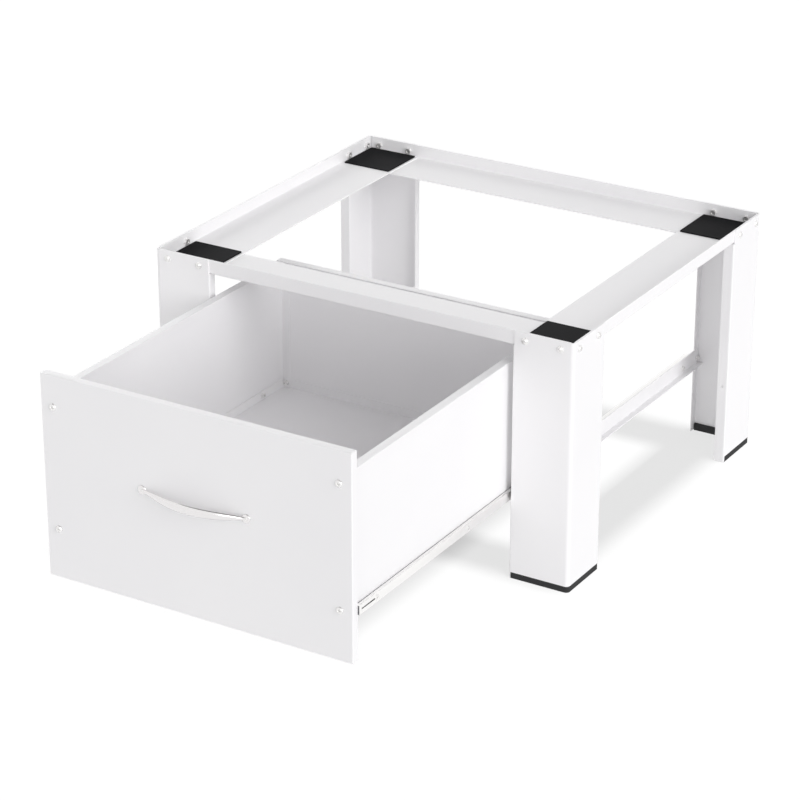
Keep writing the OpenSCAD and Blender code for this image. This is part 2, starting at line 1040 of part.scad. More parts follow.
module back_nuts() {
    color("silver")
        at_back_screws()
            translate([0, -2 * drawer_t, 0])
                facing_front()
                    rotate(30)
                        nut(small_screw_d);
}

// ---------------------------------------------------------------- handle

// How far along the bow, from -1 at one foot to 1 at the other, ring i lies
function bow_s(i) = -cos(180 * i / handle_rings);
// The bow's middle line: distance from the drawer front, half height and half thickness at s
function bow_out(s) = handle_foot_h + (handle_reach - handle_foot_h) * pow(1 - s * s, bow_curve);
function bow_up(s) = handle_tip / 2 + (handle_h - handle_tip) / 2 * pow(1 - s * s, bow_swell);
function bow_thick(s) = handle_tip / 2 + (handle_t - handle_tip) / 2 * (1 - s * s);
function bow_point(s) = [s * handle_span / 2, front_y - bow_out(s)];
// The bow's direction at ring i, from its neighbours
function bow_way(i) = unit(bow_point(bow_s(min(i + 1, handle_rings))) - bow_point(bow_s(max(i - 1, 0))));

// Points of the ring i, an oval square to the bow
function bow_ring(i) =
    let (s = bow_s(i), p = bow_point(s), way = bow_way(i), across = [way[1], -way[0]])
    [for (k = [0:handle_sides - 1])
        let (a = 360 * k / handle_sides, q = p + across * (bow_thick(s) * cos(a)))
        [q[0], q[1], handle_z + bow_up(s) * sin(a)]];

module bow() {
    n = handle_sides;
    points = [for (i = [0:handle_rings]) each bow_ring(i)];
    walls = [for (i = [0:handle_rings - 1], k = [0:n - 1])
        let (a = i * n + k, b = i * n + (k + 1) % n)
        each [[a, b, a + n], [b, b + n, a + n]]];
    first = [for (k = [n - 1:-1:0]) k];
    last = [for (k = [0:n - 1]) handle_rings * n + k];
    polyhedron(points, concat(walls, [first], [last]));
}

// A domed disc along +Z, which a foot of the bow runs into
module rosette() {
    h = handle_foot_h + handle_tip / 2;
    dome = handle_foot_d * rosette_ease;
    rotate_extrude()
        intersection() {
            square([handle_foot_d / 2, h]);
            translate([0, h - dome])
                circle(dome);
        }
}

// The bow handle, with a rosette at each foot
module handle() {
    color("silver") {
        difference() {
            union() {
                bow();
                at_handle_feet()
                    facing_front()
                        rosette();
            }
            at_handle_feet()
                facing_front()
                    translate([0, 0, -cut])
                        cylinder(r = small_screw_d / 2 + nut_play, h = handle_foot_h + cut);
        }
    }
}

module handle_screws() {
    color("silver")
        at_handle_feet()
            translate([0, drawer_t, 0])
                facing_rear()
                    screw(small_screw_d, drawer_t + handle_foot_h - play, head_h(small_screw_d));
}

module place() {
    translate([0, -mid_y, 0])
        children();
}

place() {
    rail_front();
    rail_rear();
    rail_left();
    rail_right();
    leg_front_left();
    leg_front_right();
    leg_rear_left();
    leg_rear_right();
    foot_front_left();
    foot_front_right();
    foot_rear_left();
    foot_rear_right();
    pad_front_left();
    pad_front_right();
    pad_rear_left();
    pad_rear_right();
    frame_screws();
    frame_nuts();
    beam_left();
    beam_right();
    beam_screws();
    beam_nuts();
    slide_outer_left();
    slide_outer_right();
    slide_outer_screws();
    slide_outer_nuts();
    ball_cage_left();
    ball_cage_right();
    slide_balls_left();
    slide_balls_right();
    slide_inner_left();
    slide_inner_right();
    slide_inner_screws();
    slide_inner_nuts();
    drawer_front();
    drawer_side_left();
    drawer_side_right();
    drawer_back();
    drawer_bottom();
    front_screws();
    front_nuts();
    back_screws();
    back_nuts();
    handle();
    handle_screws();
}
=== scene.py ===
"""Looks of a stand for a laundry machine, with a drawer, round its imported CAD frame.

The folded sheet parts, the slides and the rubber parts are shown as the frame has them and
get their finishes here. The bow handle is modelled again in a smoother form, and the four
screws through the drawer front with broader heads that have a cross recess.
"""

import json
import logging
import math
from dataclasses import dataclass, replace
from enum import Enum

import bmesh
import bpy
from mathutils import Matrix, Vector


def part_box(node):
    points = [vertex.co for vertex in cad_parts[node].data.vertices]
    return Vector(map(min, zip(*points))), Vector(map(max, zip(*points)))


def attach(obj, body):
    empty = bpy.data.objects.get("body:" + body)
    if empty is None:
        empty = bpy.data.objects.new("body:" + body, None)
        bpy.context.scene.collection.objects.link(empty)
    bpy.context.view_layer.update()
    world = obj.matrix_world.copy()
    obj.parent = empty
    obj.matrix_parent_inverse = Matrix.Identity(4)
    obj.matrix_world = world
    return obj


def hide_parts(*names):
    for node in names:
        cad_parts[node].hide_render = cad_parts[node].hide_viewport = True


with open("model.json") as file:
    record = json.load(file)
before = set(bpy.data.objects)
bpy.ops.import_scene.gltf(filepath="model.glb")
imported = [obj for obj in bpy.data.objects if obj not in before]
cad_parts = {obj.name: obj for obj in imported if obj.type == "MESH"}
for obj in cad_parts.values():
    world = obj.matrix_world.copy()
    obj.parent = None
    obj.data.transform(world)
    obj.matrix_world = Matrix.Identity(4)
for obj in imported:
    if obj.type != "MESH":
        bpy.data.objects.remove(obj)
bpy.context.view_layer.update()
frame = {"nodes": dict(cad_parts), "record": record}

LOG = logging.getLogger("pedestal")
MM = 0.001
WELD = 1e-6  # Metres: corners that lie closer than this are one.
TURN_AXIS = (0.0, 1.0, 0.0)  # The front's screws and the handle's feet are round about Y.

# The Mix node's colour sockets, by number, because its other kinds share their names.
MIX_A, MIX_B, MIXED = 6, 7, 2

# Half outlines of turned parts, as shares of the radius and of the height.
PAN_HEAD = (
    (1.0, 0.0),
    (1.0, 0.3),
    (0.97, 0.48),
    (0.9, 0.66),
    (0.8, 0.79),
    (0.68, 0.88),
    (0.56, 0.94),
    (0.5, 0.955),
    (0.4, 0.975),
    (0.28, 0.99),
    (0.16, 1.0),
    (0.0, 1.0),
)
ROSETTE = (
    (0.0, 0.0),
    (1.0, 0.0),
    (1.0, 0.45),
    (0.98, 0.62),
    (0.93, 0.78),
    (0.84, 0.9),
    (0.7, 0.97),
    (0.0, 1.0),
)


def linear(hex_code: str) -> tuple[float, float, float, float]:
    """Turns an sRGB hex value into a linear colour.

    Args:
        hex_code: Six hex digits, such as "f2f2f3".

    Returns:
        Red, green and blue in linear light, and an alpha of one.
    """
    channels = [int(hex_code[i : i + 2], 16) / 255 for i in (0, 2, 4)]
    light = [c / 12.92 if c <= 0.04045 else ((c + 0.055) / 1.055) ** 2.4 for c in channels]
    return (*light, 1.0)


def per_size(millimetres: float) -> float:
    """Gives the scale of a noise on Object coordinates whose features are that large."""
    return 1 / (millimetres * MM)


def add_node(
    tree: bpy.types.NodeTree, kind: str, inputs: dict | None = None, **settings: str
) -> bpy.types.Node:
    """Adds a node with its settings, values and links.

    Args:
        tree: The tree that gets the node.
        kind: The node's type name in Blender.
        inputs: Values or sockets, by the name or number of the node's input.
        **settings: The node's own properties.

    Returns:
        The new node.
    """
    node = tree.nodes.new(kind)
    for name, value in settings.items():
        setattr(node, name, value)
    for name, value in (inputs or {}).items():
        if isinstance(value, bpy.types.NodeSocket):
            tree.links.new(value, node.inputs[name])
        else:
            node.inputs[name].default_value = value
    return node


def empty_material(name: str) -> bpy.types.Material:
    """Makes a material with no nodes in it.

    Args:
        name: The material's name.

    Returns:
        The new material.
    """
    material = bpy.data.materials.new(name)
    material.use_nodes = True
    material.node_tree.nodes.clear()
    return material


def seen_directly(tree: bpy.types.NodeTree) -> bpy.types.NodeSocket:
    """Tells the rays that see the white surroundings from those that carry light.

    Args:
        tree: The tree of the world or of a material.

    Returns:
        A factor that is 1 for camera, glossy and transmission rays and 0 for all others.
    """
    path = add_node(tree, "ShaderNodeLightPath").outputs
    seen = path["Is Camera Ray"]
    for kind in ("Is Glossy Ray", "Is Transmission Ray"):
        seen = add_node(
            tree, "ShaderNodeMath", {0: seen, 1: path[kind]}, operation="MAXIMUM"
        ).outputs["Value"]
    return seen


class Slot(Enum):
    """The record's material slots."""

    PAINT = "white_paint"
    FOOT = "foot_rubber"
    PAD = "pad_rubber"
    FASTENER = "zinc_fastener"
    SLIDE = "slide_steel"
    CAGE = "cage_brass"  # The record's name for it. The cages are of steel.
    BALL = "ball_steel"
    HANDLE = "handle_chrome"


# ------------------------------------------------------------------ finishes


@dataclass(frozen=True)
class PowderCoat:
    """White polyester powder coat, baked on steel sheet.

    The powder melts into a satin skin that is slightly wavy, which the eye sees as a soft,
    faintly uneven gloss. The real waves are one to two millimetres long, and they are drawn
    longer here so that they show in the render.
    """

    name: str = "powder_coat_white"
    colour: str = "f3f2f3"
    thin_colour: str = "eeedef"
    roughness: float = 0.42
    gloss_change: float = 0.06
    peel_mm: float = 3.5
    peel_depth_mm: float = 0.02
    drift_mm: float = 140.0

    def make(self) -> bpy.types.Material:
        """Makes the material.

        Returns:
            The finished material.
        """
        material = empty_material(self.name)
        tree = material.node_tree
        place = add_node(tree, "ShaderNodeTexCoord").outputs["Object"]
        drift = add_node(
            tree,
            "ShaderNodeTexNoise",
            {"Vector": place, "Scale": per_size(self.drift_mm), "Detail": 3.0},
        )
        peel = add_node(
            tree,
            "ShaderNodeTexNoise",
            {"Vector": place, "Scale": per_size(self.peel_mm), "Detail": 1.5},
        )
        colour = add_node(
            tree,
            "ShaderNodeMix",
            {
                "Factor": drift.outputs["Fac"],
                MIX_A: linear(self.thin_colour),
                MIX_B: linear(self.colour),
            },
            data_type="RGBA",
        )
        gloss = add_node(
            tree,
            "ShaderNodeMapRange",
            {
                "Value": drift.outputs["Fac"],
                "To Min": self.roughness - self.gloss_change,
                "To Max": self.roughness + self.gloss_change,
            },
        )
        bump = add_node(
            tree,
            "ShaderNodeBump",
            {
                "Strength": 0.5,
                "Distance": self.peel_depth_mm * MM,
                "Height": peel.outputs["Fac"],
            },
        )
        shader = add_node(
            tree,
            "ShaderNodeBsdfPrincipled",
            {
                "Base Color": colour.outputs[MIXED],
                "Roughness": gloss.outputs["Result"],
                "Normal": bump.outputs["Normal"],
                "IOR": 1.5,
            },
        )
        add_node(tree, "ShaderNodeOutputMaterial", {"Surface": shader.outputs["BSDF"]})
        return material


@dataclass(frozen=True)
class Rubber:
    """Black vulcanised rubber, moulded or cut from sheet.

    Carbon black makes it nearly black, and the mould's sanded wall leaves a fine grain that
    spreads the light into a dull grey sheen. The grain is drawn coarser than the real one.
    """

    name: str
    colour: str
    dusty_colour: str
    roughness: float
    grain_mm: float
    grain_depth_mm: float
    shine: float
    dust_mm: float = 30.0

    def make(self) -> bpy.types.Material:
        """Makes the material.

        Returns:
            The finished material.
        """
        material = empty_material(self.name)
        tree = material.node_tree
        place = add_node(tree, "ShaderNodeTexCoord").outputs["Object"]
        dust = add_node(
            tree,
            "ShaderNodeTexNoise",
            {"Vector": place, "Scale": per_size(self.dust_mm), "Detail": 6.0},
        )
        grain = add_node(
            tree,
            "ShaderNodeTexNoise",
            {"Vector": place, "Scale": per_size(self.grain_mm), "Detail": 3.0},
        )
        colour = add_node(
            tree,
            "ShaderNodeMix",
            {
                "Factor": dust.outputs["Fac"],
                MIX_A: linear(self.colour),
                MIX_B: linear(self.dusty_colour),
            },
            data_type="RGBA",
        )
        bump = add_node(
            tree,
            "ShaderNodeBump",
            {
                "Strength": 0.8,
                "Distance": self.grain_depth_mm * MM,
                "Height": grain.outputs["Fac"],
            },
        )
        shader = add_node(
            tree,
            "ShaderNodeBsdfPrincipled",
            {
                "Base Color": colour.outputs[MIXED],
                "Roughness": self.roughness,
                "Normal": bump.outputs["Normal"],
                "IOR": 1.52,
                "Specular IOR Level": self.shine,
            },
        )
        add_node(tree, "ShaderNodeOutputMaterial", {"Surface": shader.outputs["BSDF"]})
        return material


@dataclass(frozen=True)
class PlatedSteel:
    """Steel with a bright plated or rolled surface.

    Zinc plate is a little cloudy, rolled strip keeps fine lines along its length, and chrome
    and ground balls are close to a mirror. The lines run along Y, and are drawn coarser than
    the real ones so that they show. A strip can get a thin dark line of painted shade along
    its top edge and down its front end, where the narrow gap beside it would lie in shadow:
    shade_line_at gives the line's Y at the front end, its Z at the top edge and its distance
    from the middle plane there, and shade_line_blur the share of its width over which it fades.
    """

    name: str
    colour: str
    cloud_colour: str
    roughness: float
    roughness_change: float = 0.05
    cloud_mm: float = 4.0
    line_mm: float = 0.8
    line_stretch: float = 60.0
    line_depth_mm: float = 0.0
    metallic: float = 1.0
    # The next four fields paint a thin dark line of shade into the strip's colour.
    shade_line_at: tuple[float, float, float] | None = None
    shade_line_width_mm: float = 0.9
    shade_line_blur: float = 0.4
    shade_line_colour: str = "77777a"

    def painted_shade_line(
        self, tree: bpy.types.NodeTree, place: bpy.types.NodeSocket
    ) -> bpy.types.NodeSocket:
        """Finds where the painted line of shade goes, at the strip's front end and along its top by
        the panel.

        Args:
            tree: The material's tree.
            place: The Object coordinates.

        Returns:
            A factor that is 1 on the painted line of shade and 0 away from it.
        """
        front, top, side = self.shade_line_at
        width = self.shade_line_width_mm * MM
        blur = width * self.shade_line_blur
        apart = add_node(tree, "ShaderNodeSeparateXYZ", {"Vector": place}).outputs
        high = add_node(
            tree,
            "ShaderNodeMapRange",
            {"Value": apart["Z"], "From Min": top - width, "From Max": top - width + blur},
        )
        out = add_node(tree, "ShaderNodeMath", {0: apart["X"]}, operation="ABSOLUTE")
        near = add_node(
            tree,
            "ShaderNodeMapRange",
            {
                "Value": out.outputs["Value"],
                "From Min": side + 2 * width - blur,
                "From Max": side + width,
            },
        )
        edge = add_node(
            tree,
            "ShaderNodeMath",
            {0: high.outputs["Result"], 1: near.outputs["Result"]},
            operation="MULTIPLY",
        )
        end = add_node(
            tree,
            "ShaderNodeMapRange",
            {"Value": apart["Y"], "From Min": front + 2 * blur, "From Max": front + blur},
        )
        both = add_node(
            tree,
            "ShaderNodeMath",
            {0: edge.outputs["Value"], 1: end.outputs["Result"]},
            operation="MAXIMUM",
        )
        return both.outputs["Value"]

    def make(self) -> bpy.types.Material:
        """Makes the material.

        Returns:
            The finished material.
        """
        material = empty_material(self.name)
        tree = material.node_tree
        place = add_node(tree, "ShaderNodeTexCoord").outputs["Object"]
        drawn = add_node(
            tree, "ShaderNodeMapping", {"Vector": place, "Scale": (1.0, 1 / self.line_stretch, 1.0)}
        )
        cloud = add_node(
            tree,
            "ShaderNodeTexNoise",
            {"Vector": place, "Scale": per_size(self.cloud_mm), "Detail": 3.0},
        )
        lines = add_node(
            tree,
            "ShaderNodeTexNoise",
            {"Vector": drawn.outputs["Vector"], "Scale": per_size(self.line_mm), "Detail": 2.0},
        )
        colour = add_node(
            tree,
            "ShaderNodeMix",
            {
                "Factor": cloud.outputs["Fac"],
                MIX_A: linear(self.cloud_colour),
                MIX_B: linear(self.colour),
            },
            data_type="RGBA",
        )
        # Paints the thin dark line of shade over the strip's colour.
        if self.shade_line_at:
            colour = add_node(
                tree,
                "ShaderNodeMix",
                {
                    "Factor": self.painted_shade_line(tree, place),
                    MIX_A: colour.outputs[MIXED],
                    MIX_B: linear(self.shade_line_colour),
                },
                data_type="RGBA",
            )
        gloss = add_node(
            tree,
            "ShaderNodeMapRange",
            {
                "Value": cloud.outputs["Fac"],
                "To Min": self.roughness - self.roughness_change,
                "To Max": self.roughness + self.roughness_change,
            },
        )
        bump = add_node(
            tree,
            "ShaderNodeBump",
            {
                "Strength": 0.5,
                "Distance": self.line_depth_mm * MM,
                "Height": lines.outputs["Fac"],
            },
        )
        shader = add_node(
            tree,
            "ShaderNodeBsdfPrincipled",
            {
                "Base Color": colour.outputs[MIXED],
                "Metallic": self.metallic,
                "Roughness": gloss.outputs["Result"],
                "Normal": bump.outputs["Normal"],
            },
        )
        add_node(tree, "ShaderNodeOutputMaterial", {"Surface": shader.outputs["BSDF"]})
        return material


FINISHES: dict[Slot, PowderCoat | Rubber | PlatedSteel] = {
    # Legs, rails, beams and the drawer's sheets: plain white, with a soft uneven gloss.
    Slot.PAINT: PowderCoat(),
    # Moulded feet: nearly black, with a soft grey sheen from the mould's sanded wall.
    Slot.FOOT: Rubber(
        name="moulded_rubber_black",
        colour="2b2b2c",
        dusty_colour="363637",
        roughness=0.72,
        grain_mm=1.6,
        grain_depth_mm=0.06,
        shine=0.2,
    ),
    # Pads cut from sheet: blacker and duller than the feet.
    Slot.PAD: Rubber(
        name="sheet_rubber_black",
        colour="131315",
        dusty_colour="1c1c1e",
        roughness=0.8,
        grain_mm=2.2,
        grain_depth_mm=0.05,
        shine=0.08,
    ),
    # Bright zinc on screws and nuts: cloudy, so it spreads more light than clean metal does.
    # A real plate is all metal; the lower value stands for the clouds and was matched.
    Slot.FASTENER: PlatedSteel(
        name="zinc_plated_steel",
        colour="f4f3f2",
        cloud_colour="e8e7e6",
        roughness=0.28,
        metallic=0.8,
    ),
    # Cold-rolled strip with a thin zinc plate: pale, with a soft streak along the slide.
    Slot.SLIDE: PlatedSteel(
        name="rolled_zinc_strip",
        colour="fbfaf9",
        cloud_colour="f7f6f5",
        roughness=0.3,
        roughness_change=0.02,
        cloud_mm=12.0,
        line_depth_mm=0.0003,
    ),
    # Stamped strip of the ball cages: greyer and duller than the slides.
    Slot.CAGE: PlatedSteel(
        name="stamped_steel_strip",
        colour="c9c8c4",
        cloud_colour="b4b3ae",
        roughness=0.36,
        line_depth_mm=0.006,
    ),
    # Ground and lapped balls: almost a mirror.
    Slot.BALL: PlatedSteel(
        name="ground_steel_ball",
        colour="dddee2",
        cloud_colour="d2d3d8",
        roughness=0.1,
        roughness_change=0.02,
    ),
    # Polished and chromed handle: a mirror that shows the white room and the dark flag.
    Slot.HANDLE: PlatedSteel(
        name="polished_chrome_plate",
        colour="eceaea",
        cloud_colour="e6e4e4",
        roughness=0.1,
        roughness_change=0.02,
    ),
}


# ------------------------------------------------------------------ meshes


def turn_part(
    form: bmesh.types.BMesh, foot: Vector, outline: list[tuple[float, float]], steps: int
) -> None:
    """Turns a half outline full circle about the line through its foot that runs along Y.

    Args:
        form: The bmesh that gets the part.
        foot: The place of the outline's zero.
        outline: The distance from the line and the Y from the foot of each point, in metres.
        steps: The sides of the circle.
    """
    verts = [form.verts.new(foot + Vector((radius, y, 0.0))) for radius, y in outline]
    edges = [form.edges.new(pair) for pair in zip(verts, verts[1:])]
    bmesh.ops.spin(
        form,
        geom=verts + edges,
        cent=foot,
        axis=TURN_AXIS,
        angle=math.tau,
        steps=steps,
        use_merge=True,
    )


def mesh_piece(
    name: str, form: bmesh.types.BMesh, material: bpy.types.Material
) -> bpy.types.Object:
    """Turns a bmesh into an object of the scene, with smooth faces that point outwards.

    Args:
        name: The piece's name.
        form: The shape, in metres and in its place. It is freed.
        material: The finish.

    Returns:
        The new object.
    """
    bmesh.ops.remove_doubles(form, verts=form.verts, dist=WELD)
    bmesh.ops.recalc_face_normals(form, faces=form.faces)
    for face in form.faces:
        face.smooth = True
    mesh = bpy.data.meshes.new(name)
    form.to_mesh(mesh)
    form.free()
    mesh.materials.append(material)
    piece = bpy.data.objects.new(name, mesh)
    bpy.context.scene.collection.objects.link(piece)
    return piece


@dataclass
class DressedNodes:
    """CAD nodes that stay as they are and share one finish."""

    nodes: tuple[str, ...]
    material: bpy.types.Material

    def build(self) -> None:
        """Puts the finish into each node's material slot."""
        for name in self.nodes:
            mesh = frame["nodes"][name].data
            mesh.materials.clear()
            mesh.materials.append(self.material)
            LOG.info("%s: %s", name, self.material.name)


@dataclass
class PanScrews:
    """The screws through the drawer front, with broad pan heads and a cross recess.

    Lengths are in metres. Each screw's place comes from its solid in the CAD node. The shares
    of the point are of the shank's radius, and those of the recess are of the head's radius
    and height. Past recess_full_share the recess is only recess_ramp_share as deep.
    """

    material: bpy.types.Material
    head: float = 0.0098
    head_height: float = 0.0026
    shank: float = 0.0038
    point_share: float = 0.8
    point_length_share: float = 0.2
    recess_width: float = 0.0011
    recess_depth: float = 0.0012
    recess_reach_share: float = 0.55
    recess_full_share: float = 0.45
    recess_ramp_share: float = 0.5
    recess_top_share: float = 0.9
    steps: int = 48

    def places(self) -> list[tuple[Vector, Vector]]:
        """Finds the boxes of the CAD node's separate screws.

        Returns:
            The lowest and highest corner of each.
        """
        form = bmesh.new()
        form.from_mesh(frame["nodes"]["front_screws"].data)
        bmesh.ops.remove_doubles(form, verts=form.verts, dist=WELD)
        boxes, waiting = [], set(form.verts)
        while waiting:
            found, reached = set(), [min(waiting, key=lambda vert: vert.index)]
            while reached:
                vert = reached.pop()
                if vert in waiting:
                    waiting.discard(vert)
                    found.add(vert)
                    reached.extend(edge.other_vert(vert) for edge in vert.link_edges)
            low, high = (
                Vector(limit(vert.co[axis] for vert in found) for axis in range(3))
                for limit in (min, max)
            )
            boxes.append((low, high))
        form.free()
        return sorted(boxes, key=lambda box: tuple(box[0]))

    def add_screw(
        self, form: bmesh.types.BMesh, low: Vector, high: Vector, face: float
    ) -> None:
        """Turns one screw about its own line and sinks the cross into its head.

        Args:
            form: The bmesh that gets the screw.
            low: The lowest corner of the screw's solid.
            high: The highest corner of the screw's solid.
            face: The Y of the sheet's outside, on which the head lies.
        """
        foot = Vector(((low.x + high.x) / 2, face, (low.z + high.z) / 2))
        shank, head, tall = self.shank / 2, self.head / 2, self.head_height
        tip = high.y - face
        outline = [
            (0.0, tip),
            (shank * self.point_share, tip),
            (shank, tip - shank * self.point_length_share),
            (shank, 0.0),
        ]
        outline += [(radius * head, -height * tall) for radius, height in PAN_HEAD]
        turn_part(form, foot, outline, self.steps)
        for vert in form.verts:
            across = vert.co - foot
            flat = Vector((across.x, across.z))
            on_arm = min(abs(flat.x), abs(flat.y)) < self.recess_width / 2
            on_top = across.y < -tall * self.recess_top_share
            if on_arm and on_top and flat.length < self.recess_reach_share * head:
                full = flat.length < self.recess_full_share * head
                vert.co.y += self.recess_depth * (1.0 if full else self.recess_ramp_share)

    def build(self) -> bpy.types.Object:
        """Models the screws and puts them in their places.

        Returns:
            The screws, as one piece.
        """
        form = bmesh.new()
        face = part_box("handle")[1].y
        places = self.places()
        for low, high in places:
            self.add_screw(form, low, high, face)
        piece = mesh_piece("front_pan_screws", form, self.material)
        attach(piece, "drawer")
        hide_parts("front_screws")
        LOG.info("%s: %d screws, %d faces", piece.name, len(places), len(piece.data.polygons))
        return piece


@dataclass
class BowHandle:
    """The bow handle on the drawer front, with a domed rosette at each foot.

    Lengths are in metres. The handle's place comes from its CAD node. The bow leaves its feet
    with the power curve, and its height grows with the power swell.
    """

    material: bpy.types.Material
    span: float = 0.152
    foot_height: float = 0.0014
    foot_width: float = 0.012
    reach: float = 0.018
    mid_height: float = 0.012
    mid_thickness: float = 0.006
    tip: float = 0.003
    curve: float = 1.3
    swell: float = 0.8
    rosette_dome: float = 0.15
    rings: int = 72
    sides: int = 32
    rosette_steps: int = 48

    def __post_init__(self) -> None:
        """Finds the handle's middle on the drawer front."""
        low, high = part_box("handle")
        self.middle = Vector((0.0, high.y, (low.z + high.z) / 2))

    def point(self, along: float) -> Vector:
        """Gives a point of the bow's middle line.

        Args:
            along: The place along the bow, from -1 at one foot to 1 at the other.

        Returns:
            The point, in the row frame.
        """
        out = self.foot_height + (self.reach - self.foot_height) * (1 - along**2) ** self.curve
        return self.middle + Vector((along * self.span / 2, -out, 0.0))

    def ring(self, step: int) -> Matrix:
        """Gives the matrix that lays a unit circle as the bow's oval section.

        Args:
            step: The section's number, from 0 at one foot to the number of rings.

        Returns:
            The matrix, which also puts the section in its place.
        """
        steps = (max(step - 1, 0), step, min(step + 1, self.rings))
        before, here, after = (-math.cos(math.pi * i / self.rings) for i in steps)
        way = (self.point(after) - self.point(before)).normalized()
        up = Vector((0.0, 0.0, 1.0))
        across = up.cross(way)
        full = 1 - here**2
        thick = (self.tip + (self.mid_thickness - self.tip) * full) / 2
        tall = (self.tip + (self.mid_height - self.tip) * full**self.swell) / 2
        turned = Matrix((across * thick, up * tall, way)).transposed().to_4x4()
        return Matrix.Translation(self.point(here)) @ turned

    def add_bow(self, form: bmesh.types.BMesh) -> None:
        """Draws the bow out of one oval section.

        Args:
            form: The bmesh that gets the bow.
        """
        start = bmesh.ops.create_circle(
            form, cap_ends=True, segments=self.sides, radius=1.0, matrix=self.ring(0)
        )
        edges = list({edge for vert in start["verts"] for edge in vert.link_edges})
        for step in range(1, self.rings + 1):
            grown = bmesh.ops.extrude_edge_only(form, edges=edges)["geom"]
            verts = [part for part in grown if isinstance(part, bmesh.types.BMVert)]
            edges = [
                part
                for part in grown
                if isinstance(part, bmesh.types.BMEdge) and all(end in verts for end in part.verts)
            ]
            move = self.ring(step) @ self.ring(step - 1).inverted()
            bmesh.ops.transform(form, matrix=move, verts=verts)
        bmesh.ops.edgeloop_fill(form, edges=edges)

    def add_rosette(self, form: bmesh.types.BMesh, along: float) -> None:
        """Turns a domed foot about its screw.

        Args:
            form: The bmesh that gets the foot.
            along: The end of the bow, -1 or 1.
        """
        foot = self.middle + Vector((along * self.span / 2, 0.0, 0.0))
        wide = self.foot_width / 2
        top = self.foot_height + self.tip * self.rosette_dome
        outline = [(radius * wide, -height * top) for radius, height in ROSETTE]
        turn_part(form, foot, outline, self.rosette_steps)

    def build(self) -> bpy.types.Object:
        """Models the handle and puts it in its place.

        Returns:
            The handle.
        """
        form = bmesh.new()
        self.add_bow(form)
        for along in (-1.0, 1.0):
            self.add_rosette(form, along)
        piece = mesh_piece("bow_handle", form, self.material)
        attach(piece, "drawer")
        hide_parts("handle")
        LOG.info("%s: %d faces", piece.name, len(piece.data.polygons))
        return piece


# ------------------------------------------------------------------ studio


@dataclass(frozen=True)
class Sun:
    """A lamp whose light comes evenly from one side.

    The share is its light against that which shows a colour as written, come_from is the
    direction it comes from, and width is how wide the lamp looks, in degrees.
    """

    name: str
    share: float
    come_from: tuple[float, float, float]
    width: float

    def make(self) -> bpy.types.Object:
        """Adds the lamp to the scene.

        Returns:
            The lamp.
        """
        data = bpy.data.lights.new(self.name, "SUN")
        data.energy = self.share * math.pi
        data.angle = math.radians(self.width)
        lamp = bpy.data.objects.new(self.name, data)
        lamp.rotation_euler = Vector(self.come_from).to_track_quat("Z", "Y").to_euler()
        bpy.context.scene.collection.objects.link(lamp)
        LOG.info("%s: %.3f", self.name, self.share)
        return lamp


